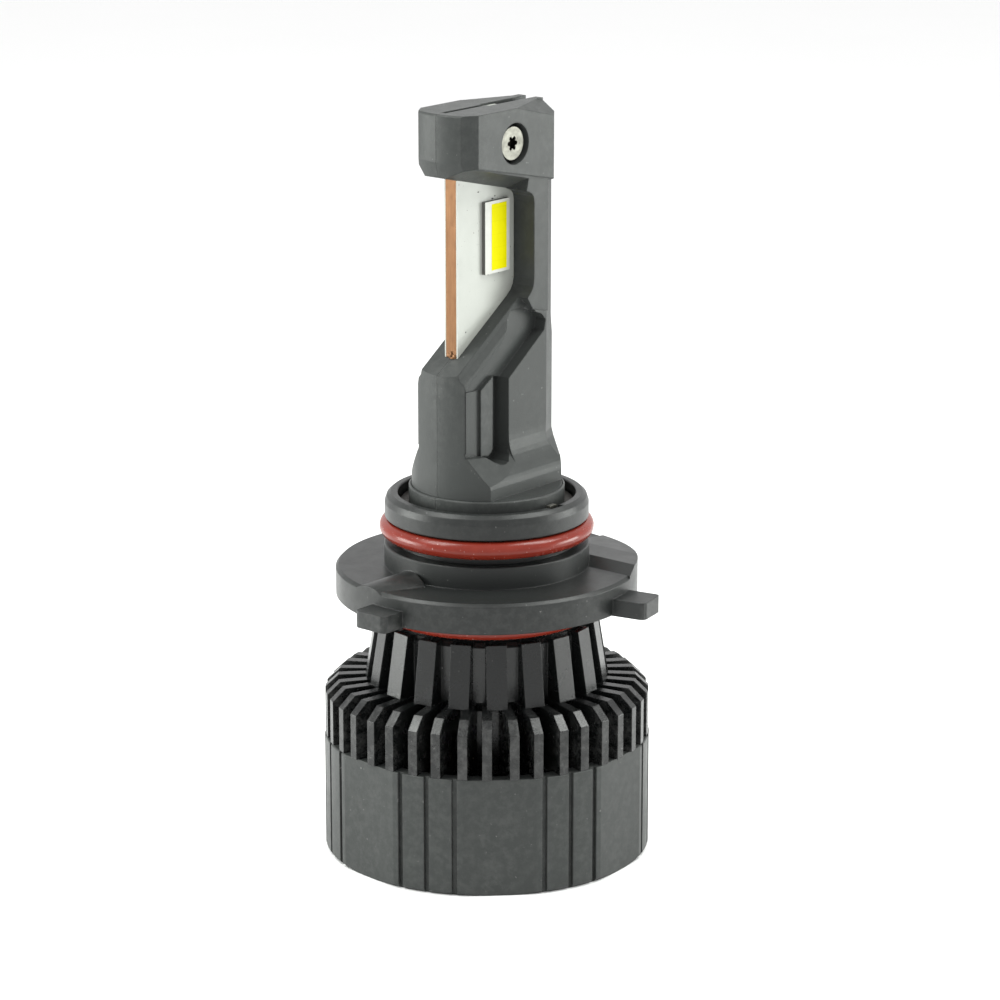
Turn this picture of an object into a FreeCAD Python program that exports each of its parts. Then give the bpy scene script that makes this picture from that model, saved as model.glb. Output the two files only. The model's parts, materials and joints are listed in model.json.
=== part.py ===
"""LED headlight bulb with a fan-cooled base, a two-part lamp stem and a turnable cap collar.

Millimetres.  +Z points from the fan up to the lamp head.  The origin is on the bulb's axis, in the
upper face of the cap flange.  The light boards stand in the XZ plane and shine along -Y and +Y.
"""
import FreeCAD
import Part
import Sketcher
import math
import os

V = FreeCAD.Vector
doc = FreeCAD.newDocument("headlight_bulb")
sheet = doc.addObject("Spreadsheet::Sheet", "dimensions")
NODES = []


# ---------------------------------------------------------------- driving dimensions
class Size:
    """A sheet value: its number, and the expression that keeps an object bound to it."""

    def __init__(self, number, text):
        self.number = number
        self.text = text

    def joined(self, sign, other, number):
        return Size(number, "(%s %s %s)" % (self.text, sign, text_of(other)))

    def __add__(self, other):
        return self.joined("+", other, self.number + value(other))

    def __sub__(self, other):
        return self.joined("-", other, self.number - value(other))

    def __mul__(self, other):
        return self.joined("*", other, self.number * value(other))

    def __truediv__(self, other):
        return self.joined("/", other, self.number / value(other))

    def __neg__(self):
        return Size(-self.number, "(0 - %s)" % self.text)


def value(size):
    return size.number if isinstance(size, Size) else float(size)


def text_of(size):
    return size.text if isinstance(size, Size) else "%.6f" % size


rows = []


def dim(alias, number, note):
    rows.append(alias)
    cell = "B%d" % len(rows)
    sheet.set("A%d" % len(rows), note)
    sheet.set(cell, str(number))
    sheet.setAlias(cell, alias)
    return Size(number, "dimensions." + alias)


BASE_Z = dim("base_z", -28.8, "underside of the fan shell")
SHELL_R = dim("shell_radius", 16.0, "fan shell, outside")
SHELL_TOP = dim("shell_top_z", -17.1, "top rim of the fan shell")
SHELL_BORE = dim("shell_bore", 14.5, "fan shell, inside radius")
SHELL_GROUPS = dim("shell_groups", 7, "groups of grooves around the shell")
GROOVE_WIDTH = dim("groove_width", 0.5, "shell groove")
GROOVE_DEPTH = dim("groove_depth", 0.4, "shell groove")
PANEL_DISTANCE = dim("panel_distance", 15.62, "flat shell panel, distance from the axis")
FIN_R = dim("fin_radius", 15.9, "heat sink fins, outside")
FIN_THICK = dim("fin_thickness", 0.92, "heat sink fin")
FIN_EDGE_Z = dim("fin_edge_z", -12.7, "top of the fins' upright edge")
FIN_SHELF_Z = dim("fin_shelf_z", -11.4, "top of the fins")
FIN_SHELF_R = dim("fin_shelf_radius", 14.6, "fins where the bevel meets the shelf")
FIN_PAIRS = dim("fin_pairs", 20, "pairs of fins, each under one broad neck block")
BLOCK_WIDTH = dim("block_width", 1.98, "broad neck block")
BLOCK_FOOT_R = dim("block_foot_radius", 11.9, "neck block at its foot")
BLOCK_TOP_R = dim("block_top_radius", 10.9, "neck block at its top")
NECK_TOP = dim("neck_top_z", -5.25, "top of the neck blocks")
CORE_R = dim("core_radius", 10.15, "heat sink core between the neck blocks")
SPIGOT_R = dim("spigot_radius", 9.3, "heat sink spigot under the flange")
PILOT_R = dim("pilot_radius", 7.6, "heat sink pilot that the collar turns on")
PILOT_TOP = dim("pilot_top_z", 5.1, "top of the pilot")
PILOT_BORE = dim("pilot_bore", 5.6, "bore for the stem's root")
FLANGE_R = dim("flange_radius", 14.74, "cap flange")
FLANGE_THICK = dim("flange_thickness", 3.0, "cap flange")
COLLAR_R = dim("collar_radius", 10.0, "collar below its seal groove")
COLLAR_BORE = dim("collar_bore", 7.68, "collar, running fit on the pilot")
GROOVE_LOW = dim("groove_low_z", 2.2, "seal groove, lower wall")
GROOVE_HIGH = dim("groove_high_z", 4.8, "seal groove, upper wall")
UPPER_R = dim("upper_ring_radius", 9.93, "collar above its seal groove")
COLLAR_TOP = dim("collar_top_z", 7.2, "collar rim")
MOUTH_R = dim("collar_mouth", 8.64, "inside radius of the collar's mouth")
MOUTH_FLOOR = dim("mouth_floor_z", 5.7, "floor of the collar's mouth")
SEAL = dim("seal_section", 1.75, "socket O-ring, section diameter")
SEAL_CENTRE = dim("seal_centre_radius", 9.575, "socket O-ring, centre line")
SEAL_Z = dim("seal_z", 3.8, "socket O-ring, height")
LUG_R = dim("lug_radius", 17.2, "two of the locating lugs, outside")
LONG_LUG_R = dim("long_lug_radius", 18.0, "long locating lug, outside")
LUG_THICK = dim("lug_thickness", 1.65, "locating lugs")
NECK_SEAL = dim("neck_seal", 1.58, "neck O-ring, section diameter")
STEM_R = dim("stem_radius", 7.26, "stem, narrow sides")
STEM_NECK_R = dim("stem_neck_radius", 7.57, "stem, neck ring")
STEM_NECK_Z = dim("stem_neck_z", 8.0, "top of the neck ring")
STEM_TOP = dim("stem_top_z", 44.95, "top of the lamp head")
PAD_LEVEL = dim("pad_level", 3.57, "raised pads of the stem, from the parting plane")
SLAB_LEVEL = dim("slab_level", 2.78, "plain faces of the stem, from the parting plane")
PILLAR_LEVEL = dim("pillar_level", 3.38, "face beside the window, from the parting plane")
PLATE_LEFT = dim("plate_left", -5.2, "copper core, left edge")
PLATE_RIGHT = dim("plate_right", 4.4, "copper core, right edge")
COPPER = dim("copper_thickness", 1.3, "copper core")
BOARD = dim("board_thickness", 0.15, "light board")
PLATE_TOP = dim("plate_top_z", 43.2, "copper core, top")
PLATE_FOOT = dim("plate_foot_z", -7.0, "copper core, bottom")
LIGHT_Z = dim("light_centre_z", 32.4, "middle of the light packages")
LIGHT_X = dim("light_centre_x", 0.2, "middle of the light packages")
PACK_HIGH = dim("package_height", 7.0, "light package")
PACK_WIDE = dim("package_width", 3.6, "light package")
PACK_THICK = dim("package_thickness", 0.4, "light package")
SCREW_Z = dim("head_screw_z", 41.6, "head screw")
SCREW_R = dim("head_screw_radius", 1.6, "head screw, head")
RECESS_R = dim("head_recess_radius", 1.98, "recess of the head screw")
FAN_Z = dim("fan_low_z", -26.9, "fan frame, underside")
FAN_HIGH = dim("fan_height", 5.3, "fan frame")
FAN_IN = dim("fan_inner_radius", 12.0, "fan frame, inside")
FAN_OUT = dim("fan_outer_radius", 14.4, "fan frame, outside")
BLADE_R = dim("blade_radius", 11.6, "fan blades, outside")
HUB_R = dim("hub_radius", 5.6, "fan hub")
BLADES = dim("blade_count", 9, "fan blades")
SHAFT_R = dim("shaft_radius", 0.75, "fan shaft")
BEARING_BORE = dim("bearing_bore", 0.79, "fan bearing, running fit on the shaft")
CASE_CIRCLE = dim("case_screw_circle", 13.2, "case screws, radius of their circle")
DRIVER_R = dim("driver_radius", 8.6, "driver board")
DRIVER_Z = dim("driver_z", -17.6, "driver board, underside")
CABLE_BORE = dim("cable_bore", 0.9, "cable inlet")
CABLE_Z = dim("cable_z", -19.75, "cable inlet, height")
doc.recompute()

FIN_PAIR_HALF = 4.75       # degrees from the middle of a neck block to each of its two fins
BLOCK_START = 9.0          # degrees from +X to the first neck block
PANEL_START = -83.9        # degrees from +X to the middle of one flat shell panel
PANEL_HALF = 9.0           # degrees, half of a flat panel
BEVEL_HALF = 13.0          # degrees, to the outer edge of the panel's bevels
GROOVE_STEP = 10.0         # degrees between grooves of one group
LUGS = ((180.0, 1.9, LUG_R), (-78.0, 1.8, LONG_LUG_R), (53.5, 1.8, LUG_R))     # degrees, half width, radius
SCREW_ANGLES = (10.0, 130.0, 250.0)
CABLE_ANGLE = 70.39
SEALED = 0.02              # clearance of parts that touch all round


# ---------------------------------------------------------------- sketches and features
def bind(thing, prop, size):
    """Give a property its number, bound to the sheet where the size comes from it."""
    if isinstance(size, Size):
        thing.setExpression(prop, size.text)
    else:
        setattr(thing, prop, size)


def new_body(name):
    body = doc.addObject("PartDesign::Body", name)
    body.Label = name
    NODES.append(body)
    return body


def origin_item(body, role):
    return [item for item in body.Origin.OriginFeatures if item.Role == role][0]


def new_sketch(body, plane, offset=0, spin=0, tilt=0):
    """A sketch on an origin plane, moved out along its normal by offset.  It is turned by spin
    about the bulb's axis, and by tilt about its own horizontal line."""
    drawing = body.newObject("Sketcher::SketchObject", body.Label + "_drawing")
    drawing.AttachmentSupport = [(origin_item(body, plane + "_Plane"), "")]
    drawing.MapMode = "FlatFace"
    spin_axis = V(0, 0, 1) if plane == "XY" else V(0, 1, 0)
    turn = FreeCAD.Rotation(spin_axis, spin) * FreeCAD.Rotation(V(1, 0, 0), tilt)
    drawing.AttachmentOffset = FreeCAD.Placement(turn.multVec(V(0, 0, value(offset))), turn)
    return drawing


def hold_point(drawing, geometry, point, x, y):
    for kind, size in (("DistanceX", x), ("DistanceY", y)):
        held = drawing.addConstraint(Sketcher.Constraint(kind, -1, 1, geometry, point, value(size)))
        if isinstance(size, Size):
            drawing.setExpression("Constraints[%d]" % held, size.text)


def add_polygon(drawing, points):
    """A closed outline through the given (x, y) points."""
    count = len(points)
    spots = [V(value(x), value(y), 0) for x, y in points]
    first = drawing.GeometryCount
    for i in range(count):
        drawing.addGeometry(Part.LineSegment(spots[i], spots[(i + 1) % count]), False)
    for i in range(count):
        joint = Sketcher.Constraint("Coincident", first + i, 2, first + (i + 1) % count, 1)
        drawing.addConstraint(joint)
    for i in range(count):
        hold_point(drawing, first + i, 1, *points[i])


def add_circle(drawing, x, y, radius):
    circle = Part.Circle(V(value(x), value(y), 0), V(0, 0, 1), value(radius))
    made = drawing.addGeometry(circle, False)
    hold_point(drawing, made, 3, x, y)
    held = drawing.addConstraint(Sketcher.Constraint("Radius", made, value(radius)))
    if isinstance(radius, Size):
        drawing.setExpression("Constraints[%d]" % held, radius.text)


def add_round_slot(drawing, x, low, high, radius):
    """An upright slot with round ends, centred on x."""
    bottom, top = V(x, low + radius, 0), V(x, high - radius, 0)
    side = V(radius, 0, 0)
    outline = (
        Part.ArcOfCircle(Part.Circle(bottom, V(0, 0, 1), radius), math.pi, 2 * math.pi),
        Part.LineSegment(bottom + side, top + side),
        Part.ArcOfCircle(Part.Circle(top, V(0, 0, 1), radius), 0, math.pi),
        Part.LineSegment(top - side, bottom - side),
    )
    first = drawing.GeometryCount
    for piece in outline:
        drawing.addGeometry(piece, False)
    for i in range(4):
        joint = Sketcher.Constraint("Coincident", first + i, 2, first + (i + 1) % 4, 1)
        drawing.addConstraint(joint)


def add_segment(drawing, x, y, radius, chord):
    """The upper part of a disc, closed by a level chord at the given height over its centre."""
    reach = math.sqrt(radius ** 2 - chord ** 2)
    start = math.atan2(chord, reach)
    circle = Part.Circle(V(x, y, 0), V(0, 0, 1), radius)
    arc = drawing.addGeometry(Part.ArcOfCircle(circle, start, math.pi - start), False)
    left, right = V(x - reach, y + chord, 0), V(x + reach, y + chord, 0)
    line = drawing.addGeometry(Part.LineSegment(left, right), False)
    drawing.addConstraint(Sketcher.Constraint("Coincident", arc, 2, line, 1))
    drawing.addConstraint(Sketcher.Constraint("Coincident", line, 2, arc, 1))


def feature(body, kind, drawing):
    made = body.newObject("PartDesign::" + kind, body.Label + "_" + kind.lower())
    made.Profile = drawing
    return made


def pad(body, drawing, length, midplane=False, reverse=False):
    made = feature(body, "Pad", drawing)
    bind(made, "Length", length)
    made.Midplane = midplane
    made.Reversed = reverse
    return made


def pocket(body, drawing, length=None, midplane=False, reverse=False):
    """A cut of the given length, or right through the body where none is given."""
    made = feature(body, "Pocket", drawing)
    if length is None:
        made.Type = "ThroughAll"
    else:
        bind(made, "Length", length)
    made.Midplane = midplane
    made.Reversed = reverse
    return made


def revolve(body, drawing, angle=360, reverse=False):
    made = feature(body, "Revolution", drawing)
    made.ReferenceAxis = (drawing, ["V_Axis"])
    made.Angle = angle
    made.Reversed = reverse
    return made


def around(body, originals, count):
    made = body.newObject("PartDesign::PolarPattern", body.Label + "_ring")
    made.Originals = originals
    made.Axis = (origin_item(body, "Z_Axis"), [""])
    made.Angle = 360
    bind(made, "Occurrences", count)
    body.Tip = made
    return made


def polygon_sketch(body, plane, points, offset=0, spin=0, tilt=0):
    drawing = new_sketch(body, plane, offset, spin, tilt)
    add_polygon(drawing, points)
    return drawing


def circle_sketch(body, circles, z=0, spin=0):
    """Circles (x, y, radius) on a level plane."""
    drawing = new_sketch(body, "XY", z, spin)
    for circle in circles:
        add_circle(drawing, *circle)
    return drawing


def rectangle(x_low, x_high, y_low, y_high):
    return [(x_low, y_low), (x_high, y_low), (x_high, y_high), (x_low, y_high)]


def turned(name, profile):
    """A body turned from one outline of (radius, z)."""
    body = new_body(name)
    revolve(body, polygon_sketch(body, "XZ", profile))
    return body


def polar(radius, degrees):
    angle = math.radians(degrees)
    return value(radius) * math.cos(angle), value(radius) * math.sin(angle)


# ---------------------------------------------------------------- primitives for small pieces
def at(x=0, y=0, z=0, axis=V(0, 0, 1), angle=0):
    return FreeCAD.Placement(V(value(x), value(y), value(z)), FreeCAD.Rotation(axis, angle))


def primitive(kind, placement, **sizes):
    made = doc.addObject("Part::" + kind, kind.lower())
    for prop, size in sizes.items():
        bind(made, prop, size)
    made.Placement = placement
    return made


def disc(radius, height, x=0, y=0, z=0):
    return primitive("Cylinder", at(x, y, z), Radius=radius, Height=height)


def cross_disc(radius, length, x, y, z):
    """A cylinder that lies along +Y from its start point."""
    return primitive("Cylinder", at(x, y, z, V(1, 0, 0), -90), Radius=radius, Height=length)


def block(x_size, y_size, z_size, x, y, z):
    """A box centred on x and y that stands on z."""
    corner = at(value(x) - value(x_size) / 2, value(y) - value(y_size) / 2, z)
    return primitive("Box", corner, Length=x_size, Width=y_size, Height=z_size)


def cut(base, tool):
    made = doc.addObject("Part::Cut", "cut")
    made.Base = base
    made.Tool = tool
    return made


def fuse(pieces):
    made = doc.addObject("Part::MultiFuse", "fuse")
    made.Shapes = pieces
    return made


def group(pieces):
    made = doc.addObject("Part::Compound", "group")
    made.Links = pieces
    return made


def node(thing, name):
    thing.Label = name
    NODES.append(thing)
    return thing


# ---------------------------------------------------------------- fan shell and its cover
def fan_shell():
    """A round case with seven flat panels and, between them, groups of three grooves."""
    inner_ledge = 14.05
    ledge_low, ledge_high = BASE_Z + 1.4, BASE_Z + 1.85
    edge = 0.35
    body = turned("fan_shell", [
        (SHELL_BORE + 0.1, BASE_Z), (SHELL_R - edge, BASE_Z), (SHELL_R, BASE_Z + edge),
        (SHELL_R, SHELL_TOP - 0.1), (SHELL_R - 0.1, SHELL_TOP), (SHELL_BORE, SHELL_TOP),
        (SHELL_BORE, ledge_high), (inner_ledge, ledge_high), (inner_ledge, ledge_low),
        (SHELL_BORE + 0.1, ledge_low)])
    flat_y = value(PANEL_DISTANCE) * math.tan(math.radians(PANEL_HALF))
    bevel_x, bevel_y = polar(SHELL_R, BEVEL_HALF)
    outside = 17.5
    panel = polygon_sketch(body, "XY", [
        (PANEL_DISTANCE, -flat_y), (bevel_x + 0.02, -bevel_y), (outside, -bevel_y - 0.8),
        (outside, bevel_y + 0.8), (bevel_x + 0.02, bevel_y), (PANEL_DISTANCE, flat_y)],
        BASE_Z - 1, PANEL_START)
    around(body, [pocket(body, panel, 14, reverse=True)], SHELL_GROUPS)
    half_step = 180.0 / value(SHELL_GROUPS)
    cuts = []
    for step in (-GROOVE_STEP, 0.0, GROOVE_STEP):
        groove = polygon_sketch(body, "XY", rectangle(
            SHELL_R - GROOVE_DEPTH, outside, -(GROOVE_WIDTH / 2), GROOVE_WIDTH / 2),
            BASE_Z - 1, PANEL_START + half_step + step)
        cuts.append(pocket(body, groove, 14, reverse=True))
    around(body, cuts, SHELL_GROUPS)
    hole = new_sketch(body, "YZ", 0, CABLE_ANGLE)
    add_circle(hole, 0, CABLE_Z, 1.43)
    pocket(body, hole, 20, reverse=True)


def vent_cover():
    """A slotted disc under the fan, held by the three case screws."""
    low, thick = BASE_Z + 0.3, 1.1
    body = turned("vent_cover", [(0, low), (SHELL_BORE, low), (SHELL_BORE, low + thick), (0, low + thick)])
    opening = new_sketch(body, "XY", low - 1)
    add_round_slot(opening, 0, 5.6, 11.6, 0.62)
    around(body, [pocket(body, opening, 5, reverse=True)], 18)
    inner = new_sketch(body, "XY", low - 1, 20)
    add_round_slot(inner, 0, 2.0, 4.6, 0.45)
    around(body, [pocket(body, inner, 5, reverse=True)], 9)
    shank = [polar(CASE_CIRCLE, a) + (0.85,) for a in SCREW_ANGLES]
    pocket(body, circle_sketch(body, shank, low - 1), 5, reverse=True)
    heads = [polar(CASE_CIRCLE, a) + (1.25,) for a in SCREW_ANGLES]
    pocket(body, circle_sketch(body, heads, low), 0.6, reverse=True)


def case_screws():
    """Three long screws through the cover and the fan frame into the heat sink."""
    screws = []
    for angle in SCREW_ANGLES:
        x, y = polar(CASE_CIRCLE, angle)
        head = disc(1.15, 0.55, x, y, BASE_Z + 0.35)
        shank = disc(0.75, 10.6, x, y, BASE_Z + 0.5)
        socket = primitive("Prism", at(x, y, BASE_Z + 0.3), Polygon=6, Circumradius=0.5, Height=0.4)
        screws.append(cut(fuse([head, shank]), socket))
    node(group(screws), "case_screws")


# ---------------------------------------------------------------- heat sink
def heat_sink():
    """A cast core with twenty broad neck blocks, and two fins under each block."""
    pocket_r, pocket_top = 9.0, -12.3
    body = turned("heat_sink", [
        (pocket_r, -18.6), (9.7, -18.6), (9.7, -12.2), (CORE_R, -11.2), (CORE_R, NECK_TOP - 0.5),
        (CORE_R - 0.35, NECK_TOP), (SPIGOT_R, NECK_TOP), (SPIGOT_R, -3.05), (PILOT_R, -3.05),
        (PILOT_R, PILOT_TOP), (PILOT_BORE, PILOT_TOP), (PILOT_BORE, -8.0), (2.6, -8.0),
        (2.6, pocket_top), (pocket_r, pocket_top)])
    fins = []
    for side in (-1, 1):
        outline = polygon_sketch(body, "XZ", [
            (9.4, -17.9), (SHELL_BORE - 0.05, -17.9), (SHELL_BORE - 0.05, SHELL_TOP),
            (FIN_R, SHELL_TOP), (FIN_R, FIN_EDGE_Z), (FIN_SHELF_R, FIN_SHELF_Z - 0.06),
            (11.5, FIN_SHELF_Z + 0.06), (9.4, FIN_SHELF_Z + 0.06)],
            0, BLOCK_START + side * FIN_PAIR_HALF)
        fins.append(pad(body, outline, FIN_THICK, midplane=True))
    neck = polygon_sketch(body, "XZ", [
        (9.4, FIN_SHELF_Z), (BLOCK_FOOT_R, FIN_SHELF_Z), (BLOCK_TOP_R, NECK_TOP), (9.4, NECK_TOP)],
        0, BLOCK_START)
    fins.append(pad(body, neck, BLOCK_WIDTH, midplane=True))
    around(body, fins, FIN_PAIRS)
    bosses = [polar(CASE_CIRCLE, a) + (1.25,) for a in SCREW_ANGLES]
    pad(body, circle_sketch(body, bosses, -21.55), 4.4)
    threads = [polar(CASE_CIRCLE, a) + (0.77,) for a in SCREW_ANGLES]
    pocket(body, circle_sketch(body, threads, -22.0), 4.5, reverse=True)
    board_bosses = [polar(7.0, a) + (1.3,) for a in (60, 180, 300)]
    pad(body, circle_sketch(body, board_bosses, -16.55), 4.4)
    board_threads = [polar(7.0, a) + (0.6,) for a in (60, 180, 300)]
    pocket(body, circle_sketch(body, board_threads, -17.0), 3.0, reverse=True)


# ---------------------------------------------------------------- cap collar and seals
def base_collar():
    """The cap: flange, three lugs, seal groove and bevelled upper ring."""
    groove_floor = SEAL_CENTRE - SEAL / 2
    corner = 0.3
    body = turned("base_collar", [
        (COLLAR_BORE, -FLANGE_THICK), (FLANGE_R - 0.1, -FLANGE_THICK), (FLANGE_R, -(FLANGE_THICK - 0.1)),
        (FLANGE_R, -corner), (FLANGE_R - corner, 0), (COLLAR_R, 0), (COLLAR_R, GROOVE_LOW - 0.1),
        (COLLAR_R - 0.1, GROOVE_LOW), (groove_floor, GROOVE_LOW), (groove_floor, GROOVE_HIGH),
        (UPPER_R - 0.1, GROOVE_HIGH), (UPPER_R, GROOVE_HIGH + 0.1), (UPPER_R, COLLAR_TOP - 0.95),
        (UPPER_R - 0.2, COLLAR_TOP - 0.35), (UPPER_R - 0.6, COLLAR_TOP), (MOUTH_R + 0.1, COLLAR_TOP),
        (MOUTH_R, COLLAR_TOP - 0.1), (MOUTH_R, MOUTH_FLOOR), (COLLAR_BORE, MOUTH_FLOOR)])
    # one cam: a low hump that runs out from the collar and fades at the rim
    hump = new_sketch(body, "YZ", 9.4, 160.8, 8.2)
    add_segment(hump, 2.3, -1.05, 3.4, 1.3)
    pad(body, hump, 5.6)
    # other cam: a straight ramp that rises from the collar's wall to a crest and falls to the rim
    ramp = polygon_sketch(body, "XZ", [
        (4.9, -0.6), (4.9, 0.0), (6.5, 0.66), (10, 0.5), (14.7, 0.02), (14.7, -0.6)], 3)
    pad(body, ramp, 12)
    pocket(body, circle_sketch(body, [(0, 0, COLLAR_BORE)], -FLANGE_THICK), 5, reverse=True)
    trim = [(0, 0, FLANGE_R), (0, 0, 26)]
    pocket(body, circle_sketch(body, trim, -(FLANGE_THICK - 0.1)), 5.2, reverse=True)
    for angle, half, outer in LUGS:
        lug = polygon_sketch(body, "XY", [
            (14.0, -half), (outer - 0.5, -half), (outer - 0.15, 0.15 - half), (outer, 0.5 - half),
            (outer, half - 0.5), (outer - 0.15, half - 0.15), (outer - 0.5, half), (14.0, half)],
            -FLANGE_THICK, angle)
        pad(body, lug, LUG_THICK)
    notch = polygon_sketch(body, "XY", rectangle(MOUTH_R - 0.8, MOUTH_R + 0.62, -0.85, 0.85),
                           COLLAR_TOP - 0.55, -93)
    pocket(body, notch, 2, reverse=True)


def o_ring(name, centre, section, z):
    node(primitive("Torus", at(0, 0, z), Radius1=centre, Radius2=section / 2), name)


def retaining_ring():
    """A snap ring in the stem's neck groove, with one end turned up at the collar's notch."""
    low, thick = MOUTH_FLOOR + 0.05, 0.5
    body = turned("retaining_ring", [(7.12, low), (8.4, low), (8.4, low + thick), (7.12, low + thick)])
    gap = polygon_sketch(body, "XY", [(0, 0), (12, -2.6), (12, 2.6)], low - 1, -74)
    pocket(body, gap, 4, reverse=True)
    tab = polygon_sketch(body, "XY", rectangle(7.95, 8.4, -0.5, 0.5), low, -90.5)
    pad(body, tab, 1.42)


# ---------------------------------------------------------------- lamp stem
def stem_shell(name, side):
    """One half of the stem.  side is -1 for the front half (towards -Y) and 1 for the rear.
    Its outline is drawn on XZ, and each recess is cut from one level outwards."""
    body = new_body(name)
    front = side < 0
    groove_low, groove_high = MOUTH_FLOOR, MOUTH_FLOOR + 0.6
    outline = polygon_sketch(body, "XZ", [
        (0, -7.9), (PILOT_BORE - SEALED, -7.9), (PILOT_BORE - SEALED, PILOT_TOP + 0.05),
        (STEM_NECK_R, PILOT_TOP + 0.05), (STEM_NECK_R, groove_low), (7.1, groove_low),
        (7.1, groove_high), (STEM_NECK_R, groove_high), (STEM_NECK_R, STEM_NECK_Z - 0.12),
        (STEM_NECK_R - 0.12, STEM_NECK_Z), (7.38, STEM_NECK_Z), (7.33, 7.62), (STEM_R + 0.05, 7.62),
        (STEM_R + 0.05, 9.4), (STEM_R, 11.2), (STEM_R, 21.5), (6.85, 24.0), (6.85, 38.7), (STEM_R, 40.4),
        (STEM_R, STEM_TOP - 0.15), (STEM_R - 0.15, STEM_TOP), (0, STEM_TOP)])
    revolve(body, outline, 180, reverse=front)

    def level_cut(points, level):
        """Cut everything outside a level, within an outline of (x, z)."""
        offset = level if front else -level
        pocket(body, polygon_sketch(body, "XZ", points, offset), 12, reverse=front)

    def long_cut(points, tilt=0.0):
        """Cut along X, right through, within an outline of (distance from parting plane, z)."""
        mirrored = [(y * side, z) for y, z in points]
        pocket(body, polygon_sketch(body, "YZ", mirrored, 0, 0, tilt), 40, midplane=True)

    def facet(points, offset, tilt, length):
        """Cut along a tilted X, within an outline of (distance from parting plane, height)."""
        mirrored = [(y * side, z) for y, z in points]
        pocket(body, polygon_sketch(body, "YZ", mirrored, offset, 0, tilt), length, reverse=True)

    def upright_cut(points, low, height):
        """Cut along Z from low upwards, within an outline of (x, distance from parting plane)."""
        mirrored = [(x, y * side) for x, y in points]
        pocket(body, polygon_sketch(body, "XY", mirrored, low), height, reverse=True)

    # broad faces: upright at the foot, then a flare that curves up into the raised pads
    long_cut([(5.0, STEM_NECK_Z), (5.0, 9.1), (4.93, 9.55), (4.8, 9.9), (4.62, 10.25), (4.4, 10.65),
              (4.17, 11.1), (3.98, 11.5), (3.82, 11.95), (3.7, 12.4), (3.62, 12.9), (3.585, 13.4),
              (PAD_LEVEL, 14.0), (PAD_LEVEL, 50), (9, 50), (9, STEM_NECK_Z)])
    # recess beside the lower pad, with a bowl-shaped lower end
    level_cut([(-6.6, 12.1), (-4.15, 11.85), (-3.4, 11.3), (-2.7, 10.95), (-2.2, 10.9), (-1.6, 11.05),
               (-1.1, 11.6), (-0.95, 12.3), (-0.95, 19.05), (-2.35, 19.4), (-4.15, 18.3), (-6.6, 18.45)],
              SLAB_LEVEL)
    # shallow field at the recess's outer side
    level_cut([(-6.6, 12.1), (-4.15, 11.86), (-4.15, 18.3), (-6.6, 18.45)], 2.5)
    # deep slot beside the pad, with a crescent under the rib
    level_cut([(-2.4, 12.3), (-2.6, 11.95), (-3.12, 11.66), (-4.0, 11.86), (-3.4, 11.3), (-2.7, 10.95),
               (-2.2, 10.9), (-1.6, 11.05), (-1.1, 11.6), (-0.95, 12.3), (-0.95, 19.05), (-2.35, 19.4)], 1.7)
    # slanting facet that runs out to a point at the edge of the flare
    facet([(5.54, 9.0), (2.77, 13.2), (9, 13.2), (9, 9.0)], -5.35, -5.8, 5.63)
    # slanting channel between the window and the lower pad
    level_cut([(-6.6, 18.45), (-4.15, 18.3), (-2.35, 19.4), (-0.95, 19.05), (4.37, 22.9), (4.6, 23.9),
               (3.9, 24.6), (1.95, 25.3), (0.8, 25.15), (0.05, 24.25), (-0.9, 22.75), (-6.6, 18.75)], 2.3)
    # bevelled land along the window's lower edge
    facet([(2.25, 20.54), (2.42, 20.09), (2.85, 19.64), (3.0, 19.14), (3.38, 18.75), (9, 18.75), (9, 21.6),
           (2.25, 21.6)], 2.5, -34.4, 14.1)
    # pillar beside the window, a little below the pads
    level_cut([(-0.9, 22.75), (0.05, 24.25), (0.8, 25.15), (1.95, 25.34), (3.76, 24.95), (5.65, 24.58),
               (9, 24.0), (9, 36.79), (-9, 40.67), (-9, 38.0), (-0.9, 36)], PILLAR_LEVEL)
    # the far narrow side is flat, and the pads' edges slope down to it
    level_cut([(6.6, 12.7), (6.68, 12.1), (6.85, 11.5), (7.08, 10.9), (7.4, 10.3), (9, 10.3), (9, 50),
               (6.6, 50)], -1)
    edge = [(6.35, 10.4), (5.75, 11.3), (5.35, 12.0), (5.19, 12.7), (5.19, 37.4), (9, 37.4), (9, 10.4)]
    sloped = polygon_sketch(body, "YZ", [(m * side, z) for m, z in edge], 0, -24.3 * side)
    pocket(body, sloped, 20, reverse=True)
    # head: sloping edges of its pad on both sides
    upright_cut([(5.72, 3.6), (6.6, 2.9), (9, 1.0), (9, 6), (5.72, 6)], 37.4, 12)
    upright_cut([(-5.3, 3.6), (-6.9, 2.55), (-9, 2.55), (-9, 6), (-5.3, 6)], 36, 14)
    # window, open towards -X, with rounded inner corners
    level_cut([(-9, 18.73), (2.0, 26.265), (2.6, 26.8), (2.95, 27.35), (3.08, 28.0), (3.08, 35.5),
               (2.98, 36.05), (2.7, 36.42), (2.2, 36.68), (-9, 39.39)], 0)
    # bevelled upper edge of the window
    if front:
        roof = [(0.8, 36.2), (2.88, 37.2), (6, 38.7), (6, 35.6), (0.8, 35.6)]
    else:
        roof = [(2.0, 36.2), (3.1, 37.6), (6, 41), (6, 35.6), (2.0, 35.6)]
    slope = polygon_sketch(body, "YZ", [(v * side, z) for v, z in roof], -6.7, 0, 13.5)
    pocket(body, slope, 12)
    # bevelled front corner of the head
    corner = polygon_sketch(body, "YZ", [(v * side, z) for v, z in (
        (3.65, 43.62), (1.5, 44.97), (1.5, 50), (6, 50), (6, 43.62))], 0, 0, 14.0)
    pocket(body, corner, 10.4)
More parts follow.
